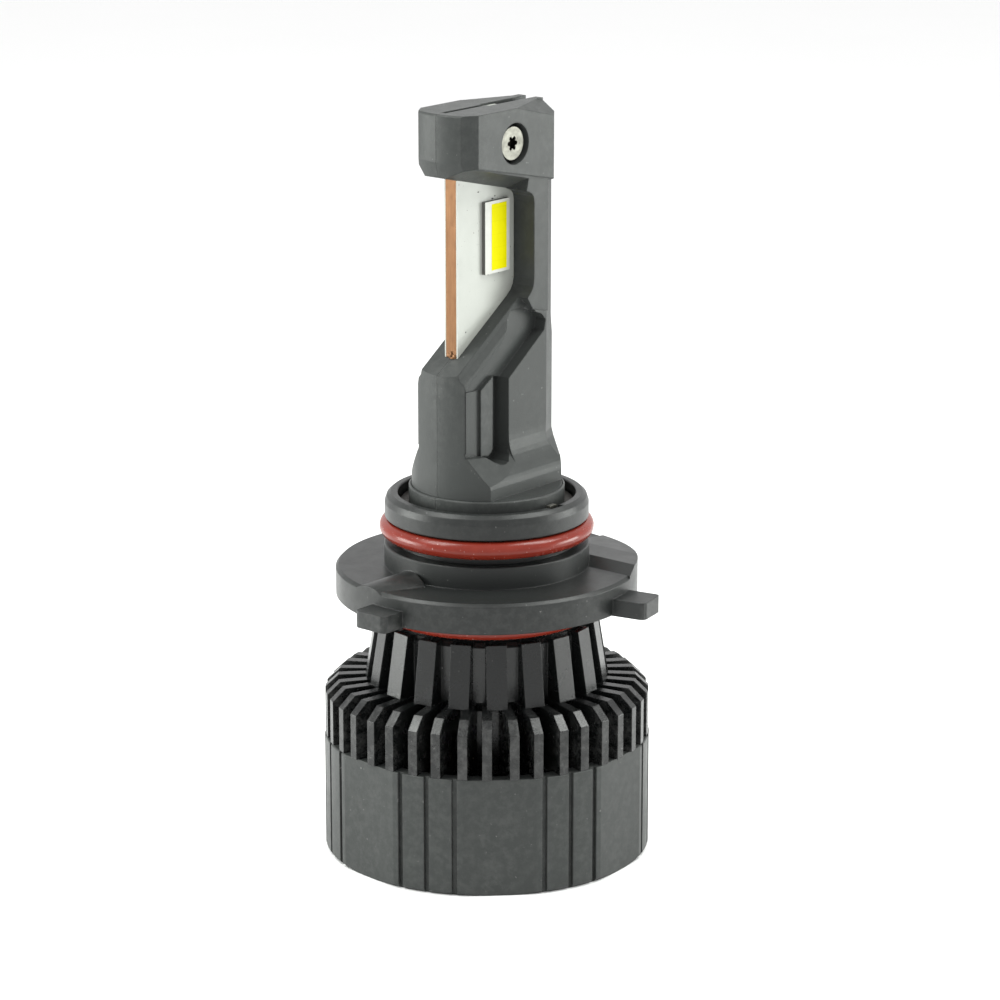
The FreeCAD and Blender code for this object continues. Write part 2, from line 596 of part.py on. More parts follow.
    # room for the plate and, below it, for the leads
    depth = COPPER / 2 + BOARD + SEALED
    plate = polygon_sketch(body, "XZ", rectangle(
        PLATE_LEFT - SEALED, PLATE_RIGHT + SEALED, -9, PLATE_TOP + SEALED))
    pocket(body, plate, depth, reverse=front)
    leads = polygon_sketch(body, "XZ", rectangle(-3.2, 3.2, -9, -2.0))
    pocket(body, leads, 2.6, reverse=front)
    slit = polygon_sketch(body, "XZ", rectangle(-0.35, 9, PLATE_TOP - 1, 50))
    pocket(body, slit, 0.62, reverse=front)
    thin_slit = polygon_sketch(body, "XZ", rectangle(-6.2, -0.35, PLATE_TOP + 1, 50))
    pocket(body, thin_slit, 0.28, reverse=front)
    screw_holes(body, front)


def screw_holes(body, front):
    """Shank hole, and in the front half the recess of the screw's head."""
    hole = new_sketch(body, "XZ")
    add_circle(hole, 0, SCREW_Z, 1.05 if front else 1.0)
    pocket(body, hole, 12 if front else 3.1, reverse=front)
    if front:
        recess = new_sketch(body, "XZ", 2.2)
        add_circle(recess, 0, SCREW_Z, RECESS_R)
        pocket(body, recess, 6, reverse=True)


def head_screw():
    """A pan-head screw with a six-lobed socket, along +Y."""
    front = -3.22
    head = cross_disc(SCREW_R, 1.0, 0, front, SCREW_Z)
    shank = cross_disc(0.98, 5.2, 0, front + 0.9, SCREW_Z)
    lobes = []
    for i in range(6):
        x, z = polar(0.52, 60 * i)
        lobes.append(cross_disc(0.2, 0.7, x, front - 0.1, SCREW_Z + z))
    socket = fuse([cross_disc(0.5, 0.7, 0, front - 0.1, SCREW_Z)] + lobes)
    node(cut(fuse([head, shank]), socket), "head_screw")


def copper_core():
    body = new_body("copper_core")
    outline = polygon_sketch(body, "XZ", rectangle(PLATE_LEFT, PLATE_RIGHT, PLATE_FOOT, PLATE_TOP))
    pad(body, outline, COPPER, midplane=True)
    hole = new_sketch(body, "XZ")
    add_circle(hole, 0, SCREW_Z, 1.1)
    pocket(body, hole, 10, midplane=True)


def led_board(name, side):
    """A thin white board on one face of the copper; the front one has a tab in the head's slit."""
    body = new_body(name)
    front = side < 0
    inner = COPPER / 2 if front else -(COPPER / 2)
    outline = polygon_sketch(body, "XZ", rectangle(PLATE_LEFT, PLATE_RIGHT, PLATE_FOOT, PLATE_TOP), inner)
    pad(body, outline, BOARD, reverse=not front)
    hole = new_sketch(body, "XZ", inner)
    add_circle(hole, 0, SCREW_Z, 1.1)
    pocket(body, hole, 3, reverse=front)


def contact_tab():
    """The white end of the board stack that shows in the slit on top of the head."""
    node(block(2.0, 1.1, 1.55, 0.75, 0, PLATE_TOP), "board_end_tab")


def led_package(side, name):
    """The light package on one face, with its yellow layer let into it."""
    face = COPPER / 2 + BOARD
    body = new_body("led_package_" + name)
    front = side < 0
    low, high = LIGHT_Z - PACK_HIGH / 2, LIGHT_Z + PACK_HIGH / 2
    left, right = LIGHT_X - PACK_WIDE / 2, LIGHT_X + PACK_WIDE / 2
    base = face if front else -face
    frame = polygon_sketch(body, "XZ", rectangle(left, right, low, high), base)
    pad(body, frame, PACK_THICK, reverse=not front)
    rim = 0.3
    inside = rectangle(left + 0.95, right - 0.45, low + rim, high - rim)
    floor_level = face + PACK_THICK - 0.2
    floor_level = floor_level if front else -floor_level
    pocket(body, polygon_sketch(body, "XZ", inside, floor_level), 1, reverse=front)
    layer = new_body("led_phosphor_" + name)
    pad(layer, polygon_sketch(layer, "XZ", inside, floor_level), 0.22, reverse=not front)


# ---------------------------------------------------------------- fan, standing half
def fan_frame():
    """Outer ring, three struts, hub plate and bearing tube."""
    body = new_body("fan_frame")
    ring = circle_sketch(body, [(0, 0, FAN_OUT), (0, 0, FAN_IN)], FAN_Z)
    pad(body, ring, FAN_HIGH)
    pad(body, circle_sketch(body, [(0, 0, 4.6)], FAN_Z), 0.7)
    struts = []
    for angle in (-45, 75, 195):
        strut = polygon_sketch(body, "XY", rectangle(3.5, FAN_IN + 0.5, -0.7, 0.7), FAN_Z, angle)
        struts.append(pad(body, strut, 0.7))
    pad(body, circle_sketch(body, [(0, 0, 1.9)], FAN_Z), 3.6)
    pocket(body, circle_sketch(body, [(0, 0, 1.4)], FAN_Z + 0.5), 8, reverse=True)
    holes = [polar(CASE_CIRCLE, a) + (0.85,) for a in SCREW_ANGLES]
    pocket(body, circle_sketch(body, holes, FAN_Z - 1), 10, reverse=True)
    lead_hole = circle_sketch(body, [polar(3.6, -45) + (0.35,)], FAN_Z - 1)
    pocket(body, lead_hole, 4, reverse=True)
    lead_notch = polygon_sketch(body, "XY", rectangle(FAN_IN - 1, FAN_OUT + 1, -0.6, 0.6), FAN_Z - 1, -45)
    pocket(body, lead_notch, 10, reverse=True)


def fan_stator():
    """Bearing, circuit board, four-pole core and its windings around the bearing tube."""
    turned("fan_bearing", [(BEARING_BORE, FAN_Z + 0.85), (1.38, FAN_Z + 0.85), (1.38, FAN_Z + 3.55),
                           (BEARING_BORE, FAN_Z + 3.55)])
    turned("fan_circuit_board", [(1.95, FAN_Z + 0.75), (4.3, FAN_Z + 0.75), (4.3, FAN_Z + 1.15),
                                 (1.95, FAN_Z + 1.15)])
    body = new_body("stator_core")
    pad(body, circle_sketch(body, [(0, 0, 2.35), (0, 0, 1.92)], FAN_Z + 1.9), 1.2)
    arms = []
    arm = polygon_sketch(body, "XY", [
        (2.1, -0.35), (3.05, -0.35), (3.05, -1.4), (3.35, -1.25), (3.55, 0), (3.35, 1.25), (3.05, 1.4),
        (3.05, 0.35), (2.1, 0.35)], FAN_Z + 1.9)
    arms.append(pad(body, arm, 1.2))
    around(body, arms, 4)
    coils = []
    for i in range(4):
        x, y = polar(2.72, 90 * i)
        outer = primitive("Box", FreeCAD.Placement(), Length=0.55, Width=1.7, Height=2.2)
        inner = primitive("Box", FreeCAD.Placement(), Length=0.8, Width=0.76, Height=1.26)
        spot = at(x, y, FAN_Z + 1.4, V(0, 0, 1), 90 * i)
        outer.Placement = spot.multiply(at(-0.275, -0.85, 0))
        inner.Placement = spot.multiply(at(-0.4, -0.38, 0.47))
        coils.append(cut(outer, inner))
    node(group(coils), "stator_windings")


# ---------------------------------------------------------------- fan, turning half
def fan_rotor():
    """Hub cup with blades, steel yoke, ring magnet, shaft and the clip on its lower end."""
    top = FAN_Z + 4.95
    body = new_body("fan_impeller")
    cup = polygon_sketch(body, "XZ", [
        (SHAFT_R, top - 0.75), (5.15, top - 0.75), (5.15, FAN_Z + 1.2), (HUB_R, FAN_Z + 1.2),
        (HUB_R, top - 0.3), (HUB_R - 0.3, top), (SHAFT_R, top)])
    revolve(body, cup)
    blade = polygon_sketch(body, "YZ", [
        (-1.75, FAN_Z + 1.3), (-1.35, FAN_Z + 1.1), (1.75, FAN_Z + 4.55), (1.35, FAN_Z + 4.75)], HUB_R - 0.35)
    around(body, [pad(body, blade, BLADE_R - HUB_R + 0.35)], BLADES)
    turned("rotor_yoke", [
        (1.0, top - 0.8), (1.0, top - 1.05), (4.85, top - 1.05), (4.85, FAN_Z + 1.3), (5.12, FAN_Z + 1.3),
        (5.12, top - 0.8)])
    turned("rotor_magnet", [(3.85, FAN_Z + 1.4), (4.82, FAN_Z + 1.4), (4.82, top - 1.1), (3.85, top - 1.1)])
    turned("fan_shaft", [(0, FAN_Z + 0.62), (SHAFT_R, FAN_Z + 0.62), (SHAFT_R, top - 0.1), (0, top - 0.1)])
    turned("shaft_clip", [(SHAFT_R, FAN_Z + 0.66), (1.3, FAN_Z + 0.66), (1.3, FAN_Z + 0.8),
                          (SHAFT_R, FAN_Z + 0.8)])


# ---------------------------------------------------------------- driver
def driver():
    """A round board in the heat sink's underside, with its parts on both faces and three screws."""
    body = new_body("driver_board")
    pad(body, circle_sketch(body, [(0, 0, DRIVER_R)], DRIVER_Z), 1.0)
    holes = [polar(7.0, a) + (0.65,) for a in (60, 180, 300)]
    pocket(body, circle_sketch(body, holes, DRIVER_Z - 1), 4, reverse=True)
    top = DRIVER_Z + 1.0
    inductor = cut(disc(2.3, 3.0, 3.6, -0.6, top), disc(3.0, 1.4, 3.6, -0.6, top + 0.8))
    drum = disc(1.4, 3.0, 3.6, -0.6, top)
    winding = cut(disc(2.1, 1.3, 3.6, -0.6, top + 0.85), disc(1.42, 3, 3.6, -0.6, top))
    node(group([fuse([inductor, drum]), winding]), "driver_inductor")
    node(group([disc(1.5, 3.4, x, y, top) for x, y in ((-3.2, 3.4), (-4.3, -3.2))]), "driver_capacitors")
    chips = [block(2.6, 3.2, 0.9, 0.0, -4.4, top), block(1.6, 1.2, 0.6, -0.4, 5.6, top),
             block(1.2, 2.0, 0.6, 6.6, 2.6, top), block(1.0, 0.5, 0.5, 0.4, 2.4, top)]
    node(group(chips), "driver_chips")
    screws = []
    for angle in (60, 180, 300):
        x, y = polar(7.0, angle)
        head = disc(1.1, 0.5, x, y, DRIVER_Z - 0.5)
        shank = disc(0.58, 3.3, x, y, DRIVER_Z - 0.2)
        slots = [block(wide, deep, 0.3, x, y, DRIVER_Z - 0.55) for wide, deep in ((1.2, 0.25), (0.25, 1.2))]
        screws.append(cut(fuse([head, shank]), fuse(slots)))
    node(group(screws), "driver_board_screws")


# ---------------------------------------------------------------- leads and cable inlet
def lead(points, radius):
    """A round insulated lead: straight runs joined by tangent arcs, as large as the runs allow."""
    corners = [V(*(value(c) for c in p)) for p in points]
    edges = []
    start = corners[0]
    for before, corner, after in zip(corners, corners[1:], corners[2:]):
        into = (corner - before)
        out = (after - corner)
        turn = into.getAngle(out)
        reach = 0.45 * min(into.Length, out.Length)
        into.normalize()
        out.normalize()
        arc_start = corner - into * reach
        arc_end = corner + out * reach
        bisector = (out - into)
        bisector.normalize()
        arc_radius = reach / math.tan(turn / 2)
        middle = corner + bisector * (arc_radius / math.cos(turn / 2) - arc_radius)
        edges.append(Part.LineSegment(start, arc_start).toShape())
        edges.append(Part.Arc(arc_start, middle, arc_end).toShape())
        start = arc_end
    edges.append(Part.LineSegment(start, corners[-1]).toShape())
    path = Part.Wire(edges)
    direction = corners[1] - corners[0]
    profile = Part.Wire(Part.makeCircle(radius, corners[0], direction))
    tube = path.makePipeShell([profile], True, True)
    share = tube.Volume / (math.pi * radius ** 2 * path.Length)
    print("lead of %.1f mm, volume share %.3f" % (path.Length, share))
    return tube


def shape_node(name, shape):
    made = doc.addObject("Part::Feature", name)
    made.Shape = shape
    made.Placement = FreeCAD.Placement()
    return node(made, name)


def leads():
    top = value(DRIVER_Z) + 1.0
    pairs = []
    for side in (-1, 1):
        y = side * 1.22
        pairs.append(lead([(-1.2, 0.9 * side, top), (-1.2, 0.9 * side, -13.6), (-0.9, y, -10.6),
                           (-0.9, y, -5.0)], 0.4))
    shape_node("led_leads", Part.makeCompound(pairs))
    under = value(FAN_Z) - 0.25
    fan_route = [polar(3.6, -45) + (value(FAN_Z) + 0.74,), polar(3.6, -45) + (under,),
                 polar(13.2, -45) + (under,), polar(13.2, -45) + (-20.6,),
                 polar(7.4, -45) + (-19.9,), polar(6.6, -45) + (value(DRIVER_Z),)]
    shape_node("fan_leads", lead(fan_route, 0.2))


def cable_grommet():
    """A rubber inlet in the wall of the fan shell, with a bore for the supply cord."""
    x, y = polar(1, CABLE_ANGLE)
    axis = V(x, y, 0)
    start = V(*polar(14.0, CABLE_ANGLE), value(CABLE_Z))

    def ring(radius, length, offset):
        made = doc.addObject("Part::Cylinder", "ring")
        bind(made, "Radius", radius)
        made.Height = length
        made.Placement = FreeCAD.Placement(start + axis * offset, FreeCAD.Rotation(V(0, 0, 1), axis))
        return made

    solid = fuse([ring(1.8, 0.42, 0), ring(1.4, 2.4, 0), ring(2.0, 0.6, 1.7)])
    node(cut(solid, ring(CABLE_BORE, 8, -2)), "cable_grommet")


# ---------------------------------------------------------------- build, check, write
fan_shell()
vent_cover()
case_screws()
heat_sink()
base_collar()
o_ring("socket_o_ring", SEAL_CENTRE, SEAL, SEAL_Z)
o_ring("neck_o_ring", SPIGOT_R + 0.8, NECK_SEAL, -4.1)
retaining_ring()
stem_shell("stem_shell_front", -1)
stem_shell("stem_shell_rear", 1)
head_screw()
copper_core()
led_board("led_board_front", -1)
led_board("led_board_rear", 1)
contact_tab()
led_package(-1, "front")
led_package(1, "rear")
fan_frame()
fan_stator()
fan_rotor()
driver()
leads()
cable_grommet()
doc.recompute()

os.makedirs("parts", exist_ok=True)
faults = []
for thing in doc.Objects:
    if {"Invalid", "Error"} & set(thing.State):
        faults.append("%s (%s) is %s" % (thing.Name, thing.Label, thing.State))
    if thing.TypeId in ("PartDesign::Pocket", "PartDesign::Groove") and not thing.Shape.isNull():
        if thing.BaseFeature and thing.Shape.Volume > thing.BaseFeature.Shape.Volume - 1e-4:
            faults.append("%s cuts nothing" % thing.Name)
for thing in NODES:
    shape = thing.Shape
    if shape.isNull() or not shape.isValid() or not shape.Solids:
        faults.append("%s has no valid solid" % thing.Label)
        continue
    box = shape.BoundBox
    print("%-22s %2d solid  %8.1f mm3  x %6.2f %6.2f  y %6.2f %6.2f  z %6.2f %6.2f" % (
        thing.Label, len(shape.Solids), shape.Volume, box.XMin, box.XMax, box.YMin, box.YMax,
        box.ZMin, box.ZMax))
if faults:
    raise SystemExit("\n".join(faults))
for thing in NODES:
    thing.Shape.exportStep("parts/%s.step" % thing.Label)
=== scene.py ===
"""Looks of an LED headlight bulb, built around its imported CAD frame.  Lengths are in metres."""
import json
import math
import random
import bmesh
import bpy
from mathutils import Matrix, Vector


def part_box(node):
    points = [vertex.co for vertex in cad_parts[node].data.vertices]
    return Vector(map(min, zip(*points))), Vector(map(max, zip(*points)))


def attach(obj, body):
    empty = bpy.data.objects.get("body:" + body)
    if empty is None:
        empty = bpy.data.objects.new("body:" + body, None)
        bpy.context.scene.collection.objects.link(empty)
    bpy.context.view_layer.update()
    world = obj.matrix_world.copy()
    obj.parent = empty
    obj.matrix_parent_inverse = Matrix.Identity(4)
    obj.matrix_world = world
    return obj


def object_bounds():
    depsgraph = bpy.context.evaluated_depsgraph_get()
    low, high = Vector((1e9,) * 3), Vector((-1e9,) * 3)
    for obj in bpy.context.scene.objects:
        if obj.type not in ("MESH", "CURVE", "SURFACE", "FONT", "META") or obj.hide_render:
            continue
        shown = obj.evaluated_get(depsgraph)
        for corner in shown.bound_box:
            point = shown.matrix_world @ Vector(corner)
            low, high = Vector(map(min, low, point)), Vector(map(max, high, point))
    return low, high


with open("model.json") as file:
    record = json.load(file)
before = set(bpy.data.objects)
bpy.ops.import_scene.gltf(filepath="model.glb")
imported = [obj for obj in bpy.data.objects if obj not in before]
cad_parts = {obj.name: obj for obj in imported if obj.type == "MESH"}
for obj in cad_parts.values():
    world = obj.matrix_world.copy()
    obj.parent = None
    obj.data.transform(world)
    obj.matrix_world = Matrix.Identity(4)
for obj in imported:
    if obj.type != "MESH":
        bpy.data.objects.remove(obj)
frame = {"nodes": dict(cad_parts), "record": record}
cad_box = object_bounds()
nodes = frame["nodes"]
MM = 0.001


# ---------------------------------------------------------------- node materials
class Paint:
    """A node material in the making: every helper returns an output socket."""

    def __init__(self, name):
        self.material = bpy.data.materials.new(name)
        self.material.use_nodes = True
        self.tree = self.material.node_tree
        self.tree.nodes.clear()
        self.shader = self.new("ShaderNodeBsdfPrincipled")
        out = self.new("ShaderNodeOutputMaterial")
        self.link(self.shader.outputs["BSDF"], out.inputs["Surface"])
        self.place = self.new("ShaderNodeTexCoord").outputs["Object"]

    def new(self, kind):
        return self.tree.nodes.new(kind)

    def link(self, out, into):
        self.tree.links.new(out, into)

    def feed(self, socket, value):
        """Links a socket into another, or sets its constant."""
        if isinstance(value, bpy.types.NodeSocket):
            self.link(value, socket)
        else:
            socket.default_value = value

    def stretched(self, scale):
        """Object coordinates scaled along each axis."""
        node = self.new("ShaderNodeMapping")
        self.link(self.place, node.inputs["Vector"])
        node.inputs["Scale"].default_value = scale
        return node.outputs["Vector"]

    def noise(self, size, detail=4.0, rough=0.6, stretch=None):
        """Noise whose lumps are about size millimetres across."""
        node = self.new("ShaderNodeTexNoise")
        self.link(self.stretched(stretch) if stretch else self.place, node.inputs["Vector"])
        node.inputs["Scale"].default_value = 1.0 / (size * MM)
        node.inputs["Detail"].default_value = detail
        node.inputs["Roughness"].default_value = rough
        return node.outputs["Fac"]

    def axis(self, letter, source="place"):
        """One coordinate of the point on the object, or of its normal."""
        vector = self.place
        if source == "normal":
            vector = self.new("ShaderNodeNewGeometry").outputs["Normal"]
        node = self.new("ShaderNodeSeparateXYZ")
        self.link(vector, node.inputs[0])
        return node.outputs[letter]

    def ramp(self, source, *stops):
        """Maps a 0..1 value through (position, grey) stops."""
        node = self.new("ShaderNodeValToRGB")
        self.link(source, node.inputs["Fac"])
        ramp = node.color_ramp
        while len(ramp.elements) < len(stops):
            ramp.elements.new(0.5)
        for element, (spot, grey) in zip(ramp.elements, stops):
            element.position = spot
            element.color = (grey, grey, grey, 1)
        return node.outputs["Color"]

    def math(self, kind, a, b=0.0):
        node = self.new("ShaderNodeMath")
        node.operation = kind
        self.feed(node.inputs[0], a)
        self.feed(node.inputs[1], b)
        return node.outputs[0]

    def mix(self, share, first, second):
        """The first colour, or the second where share is 1."""
        node = self.new("ShaderNodeMix")
        node.data_type = "RGBA"
        self.feed(node.inputs[0], share)
        for socket, color in ((node.inputs[6], first), (node.inputs[7], second)):
            self.feed(socket, color if isinstance(color, bpy.types.NodeSocket) else tuple(color) + (1,))
        return node.outputs[2]

    def color(self, value):
        self.link(value, self.shader.inputs["Base Color"])

    def roughness(self, low, high, source):
        """Roughness from low to high over the middle of a noise's range."""
        node = self.new("ShaderNodeMapRange")
        self.link(source, node.inputs["Value"])
        node.inputs["From Min"].default_value = 0.3
        node.inputs["From Max"].default_value = 0.7
        node.inputs["To Min"].default_value = low
        node.inputs["To Max"].default_value = high
        self.link(node.outputs["Result"], self.shader.inputs["Roughness"])

    def relief(self, source, depth, round_edge=0.0):
        """Bump from a 0..1 height of the given depth in millimetres, over softly rounded edges."""
        node = self.new("ShaderNodeBump")
        node.inputs["Strength"].default_value = 1.0
        node.inputs["Distance"].default_value = depth * MM
        self.link(source, node.inputs["Height"])
        if round_edge:
            edge = self.new("ShaderNodeBevel")
            edge.samples = 4
            edge.inputs["Radius"].default_value = round_edge * MM
            self.link(edge.outputs["Normal"], node.inputs["Normal"])
        self.link(node.outputs["Normal"], self.shader.inputs["Normal"])

    def edges(self):
        """About 1 on sharp outer edges, 0 elsewhere."""
        node = self.new("ShaderNodeNewGeometry")
        return self.ramp(node.outputs["Pointiness"], (0.52, 0.0), (0.6, 1.0))

    def set(self, **values):
        """Constant shader inputs, each named with _ for a space."""
        for name, value in values.items():
            self.shader.inputs[name.replace("_", " ")].default_value = value
        return self.material


BARE_METAL = (0.32, 0.32, 0.31)
DUST = (0.30, 0.30, 0.29)


def anodised(name, dark, light, gloss, grain, edge, specular, chips):
    """Anodised or painted aluminium: blasted grain, cloudy gloss, specks and rubbed edges.

    gloss is the lowest roughness, grain the bump's depth and edge the rounding in millimetres,
    specular the reflection level and chips the share of bare metal on the rubbed edges.
    """
    paint = Paint(name)
    base = paint.mix(paint.noise(5.0, 4), dark, light)
    base = paint.mix(paint.math("MULTIPLY", paint.noise(0.35, 3, 0.7), 0.5), base, dark)
    patches = paint.ramp(paint.noise(0.9, 4, 0.7), (0.42, 0.0), (0.66, 1.0))
    worn = paint.math("MULTIPLY", paint.edges(), patches)
    base = paint.mix(paint.math("MULTIPLY", worn, chips), base, BARE_METAL)
    specks = paint.ramp(paint.noise(0.34, 2, 0.5), (0.735, 0.0), (0.765, 1.0))
    base = paint.mix(paint.math("MULTIPLY", specks, 0.35), base, DUST)
    paint.color(base)
    paint.roughness(gloss, gloss + 0.07, paint.noise(1.6, 4))
    paint.relief(paint.noise(0.14, 3, 0.75), grain, edge)
    return paint.set(Specular_IOR_Level=specular)


def plain(name, dark, light, gloss, size=1.5, grain=0.004, edge=0.0, **values):
    """A mottled finish: size is the mottling's, and grain and edge are as for anodised()."""
    paint = Paint(name)
    paint.color(paint.mix(paint.noise(size, 4), dark, light))
    paint.roughness(gloss, gloss + 0.15, paint.noise(size * 0.6, 3))
    paint.relief(paint.noise(0.15, 2), grain, edge)
    return paint.set(**values)


# Levels that part the bright steel from the dark: the snap ring's end, painted bright as a highlight, lies
# above the first, the head screw's face is outside the second, and the third lies between ring and screw.
RING_END_Z = 6.45 * MM
SCREW_FACE_Y = -3.1 * MM
RING_OR_SCREW_Z = 12.0 * MM


def steel():
    """Steel: a painted highlight on the snap ring's end, bare steel on the head screw's face, and dark
    elsewhere, which is painted shade in the screw's socket.
    """
    paint = Paint("steel")
    bright = paint.mix(paint.noise(0.8, 4), (0.13, 0.128, 0.112), (0.23, 0.228, 0.20))
    spots = paint.ramp(paint.noise(0.3, 2, 0.6), (0.62, 0.0), (0.70, 1.0))
    bright = paint.mix(paint.math("MULTIPLY", spots, 0.5), bright, (0.06, 0.055, 0.045))
    above = paint.math("GREATER_THAN", paint.axis("Z"), RING_END_Z)
    outside = paint.math("LESS_THAN", paint.axis("Y"), SCREW_FACE_Y)
    ring_end = paint.math("LESS_THAN", paint.axis("Z"), RING_OR_SCREW_Z)
    shown = paint.math("MULTIPLY", above, paint.math("MAXIMUM", outside, ring_end))
    # Bright where shown is 1: a painted highlight on the ring's end, and the screw's bare face. Dark
    # elsewhere: painted shade in the screw's socket.
    paint.color(paint.mix(shown, (0.035, 0.032, 0.028), bright))
    paint.roughness(0.40, 0.58, paint.noise(0.5, 3))
    paint.relief(paint.noise(0.2, 3), 0.008, 0.06)
    return paint.set(Metallic=1.0)


def copper():
    """Sawn copper: fine lengthwise scratches, browned in patches."""
    paint = Paint("copper")
    base = paint.mix(paint.noise(1.4, 4), (0.118, 0.056, 0.025), (0.160, 0.082, 0.039))
    lines = paint.noise(0.12, 3, 0.6, (1.0, 1.0, 0.05))
    paint.color(paint.mix(paint.ramp(lines, (0.45, 0.0), (0.75, 0.35)), base, (0.07, 0.028, 0.013)))
    paint.roughness(0.28, 0.46, paint.noise(0.6, 3))
    paint.relief(lines, 0.008, 0.05)
    return paint.set(Metallic=0.85)


def board():
    """White solder mask with faint stains and tiny dark specks."""
    paint = Paint("board_white")
    base = paint.mix(paint.noise(3.0, 4), (0.33, 0.343, 0.316), (0.385, 0.398, 0.366))
    specks = paint.ramp(paint.noise(0.32, 2, 0.5), (0.725, 0.0), (0.75, 1.0))
    paint.color(paint.mix(paint.math("MULTIPLY", specks, 0.8), base, (0.10, 0.10, 0.09)))
    paint.roughness(0.3, 0.45, paint.noise(1.0, 3))
    paint.relief(paint.noise(0.5, 3), 0.004)
    return paint.set(Specular_IOR_Level=0.4)


def package():
    """White moulded frame, with painted shade on its sawn sides."""
    paint = Paint("package")
    base = paint.mix(paint.noise(0.6, 4), (0.40, 0.41, 0.375), (0.50, 0.50, 0.465))
    # Painted shade: faces not turned to the front or rear get the dark colour.
    face = paint.ramp(paint.math("ABSOLUTE", paint.axis("Y", "normal")), (0.4, 0.0), (0.7, 1.0))
    paint.color(paint.mix(face, (0.10, 0.10, 0.09), base))
    paint.roughness(0.35, 0.5, paint.noise(0.5, 3))
    paint.relief(paint.noise(0.2, 3), 0.006)
    return paint.set(Specular_IOR_Level=0.4)


CHIP_PITCH = 1.28 * MM
CHIP_LINE = 0.035


def phosphor():
    """Yellow silicone layer, with faint cross lines between the chips below it."""
    paint = Paint("phosphor")
    base = paint.mix(paint.noise(0.8, 4), (0.54, 0.50, 0.0), (0.60, 0.56, 0.0))
    wave = paint.math("FRACT", paint.math("MULTIPLY", paint.axis("Z"), 1.0 / CHIP_PITCH))
    line = paint.math("LESS_THAN", paint.math("ABSOLUTE", paint.math("SUBTRACT", wave, 0.5)), CHIP_LINE)
    paint.color(paint.mix(paint.math("MULTIPLY", line, 0.12), base, (0.34, 0.31, 0.0)))
    paint.roughness(0.5, 0.65, paint.noise(0.5, 3))
    paint.relief(paint.noise(0.12, 3), 0.006)
    return paint.set(Specular_IOR_Level=0.04)


def silicone():
    """Glossy red silicone rubber: dust, a moulding haze and slightly uneven gloss."""
    paint = Paint("red_silicone")
    base = paint.mix(paint.noise(2.5, 4), (0.135, 0.0125, 0.0065), (0.21, 0.024, 0.013))
    dust = paint.ramp(paint.noise(0.22, 2, 0.5), (0.72, 0.0), (0.75, 1.0))
    paint.color(paint.mix(paint.math("MULTIPLY", dust, 0.5), base, (0.75, 0.62, 0.56)))
    paint.roughness(0.14, 0.3, paint.noise(1.2, 3))
    paint.relief(paint.noise(0.4, 3), 0.006)
    return paint.set(Specular_IOR_Level=0.3)


mats = {
    "anodised_grey": anodised("anodised_grey", (0.036, 0.039, 0.0375), (0.043, 0.046, 0.0445),
                              gloss=0.34, grain=0.012, edge=0.16, specular=0.18, chips=0.06),
    "fin_black": anodised("fin_black", (0.004, 0.0045, 0.0045), (0.007, 0.008, 0.008),
                          gloss=0.22, grain=0.010, edge=0.10, specular=0.42, chips=0.10),
    "red_silicone": silicone(),
    "copper": copper(),
    "board_white": board(),
    "package": package(),
    "phosphor": phosphor(),
    "steel": steel(),
    "black_plastic": plain("black_plastic", (0.012, 0.012, 0.013), (0.02, 0.02, 0.021),
                           gloss=0.4, size=2.0, grain=0.006, edge=0.08),
    "board_green": plain("board_green", (0.01, 0.07, 0.03), (0.02, 0.11, 0.05), gloss=0.35, size=1.2),
    "electronics": plain("electronics", (0.015, 0.015, 0.016), (0.03, 0.03, 0.03), gloss=0.4, size=1.0),
    "magnet": plain("magnet", (0.03, 0.03, 0.03), (0.06, 0.06, 0.06), gloss=0.5, size=0.6, grain=0.01),
    "winding": plain("winding", (0.45, 0.18, 0.06), (0.60, 0.26, 0.10),
                     gloss=0.3, size=0.4, grain=0.02, Metallic=0.8),
    "bronze": plain("bronze", (0.40, 0.26, 0.10), (0.50, 0.34, 0.15),
                    gloss=0.45, size=0.6, grain=0.01, Metallic=1.0),
    "lead_insulation": plain("lead_insulation", (0.35, 0.02, 0.015), (0.45, 0.03, 0.02), gloss=0.4, size=1.0),
    "rubber_black": plain("rubber_black", (0.012, 0.012, 0.012), (0.022, 0.022, 0.022),
                          gloss=0.55, size=1.0, grain=0.008, edge=0.08),
}

# The collar is a separate casting; it gets its own darker and glossier copy of the stem's and the shell's
# finish.
collar_paint = anodised("collar_grey", (0.012, 0.0135, 0.013), (0.017, 0.0185, 0.018),
                        gloss=0.32, grain=0.012, edge=0.16, specular=0.32, chips=0.06)

slot_of = {row["node"]: row["material_slot"] for row in frame["record"]["subparts"]}
for name, thing in nodes.items():
    material = collar_paint if name == "base_collar" else mats[slot_of[name]]
    if not thing.material_slots:
        thing.data.materials.append(material)
    for slot in thing.material_slots:
        slot.material = material


# ---------------------------------------------------------------- small pieces
def piece(name, mesh, slot):
    """A new smooth piece that rides on the lamp and takes its finish from a record slot."""
    thing = bpy.data.objects.new(name, mesh)
    bpy.context.scene.collection.objects.link(thing)
    mesh.materials.append(mats[slot])
    for face in mesh.polygons:
        face.use_smooth = True
    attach(thing, "lamp")


def lumps(name, spots, seed):
    """One mesh of small uneven lumps, each (centre, (x, y, z) half sizes), in millimetres."""
    dice = random.Random(seed)
    shape = bmesh.new()
    for centre, sizes in spots:
        made = bmesh.ops.create_icosphere(shape, subdivisions=3, radius=1.0)
        waves = [(Vector((dice.uniform(-3, 3), dice.uniform(-3, 3), dice.uniform(-3, 3))), dice.uniform(0, 6))
                 for _ in range(5)]
        for vert in made["verts"]:
            bulge = 1.0 + sum(0.09 * math.sin(vert.co.dot(way) + start) for way, start in waves)
            vert.co = Vector([(centre[i] + vert.co[i] * bulge * sizes[i]) * MM for i in range(3)])
    mesh = bpy.data.meshes.new(name)
    shape.to_mesh(mesh)
    shape.free()
    return mesh


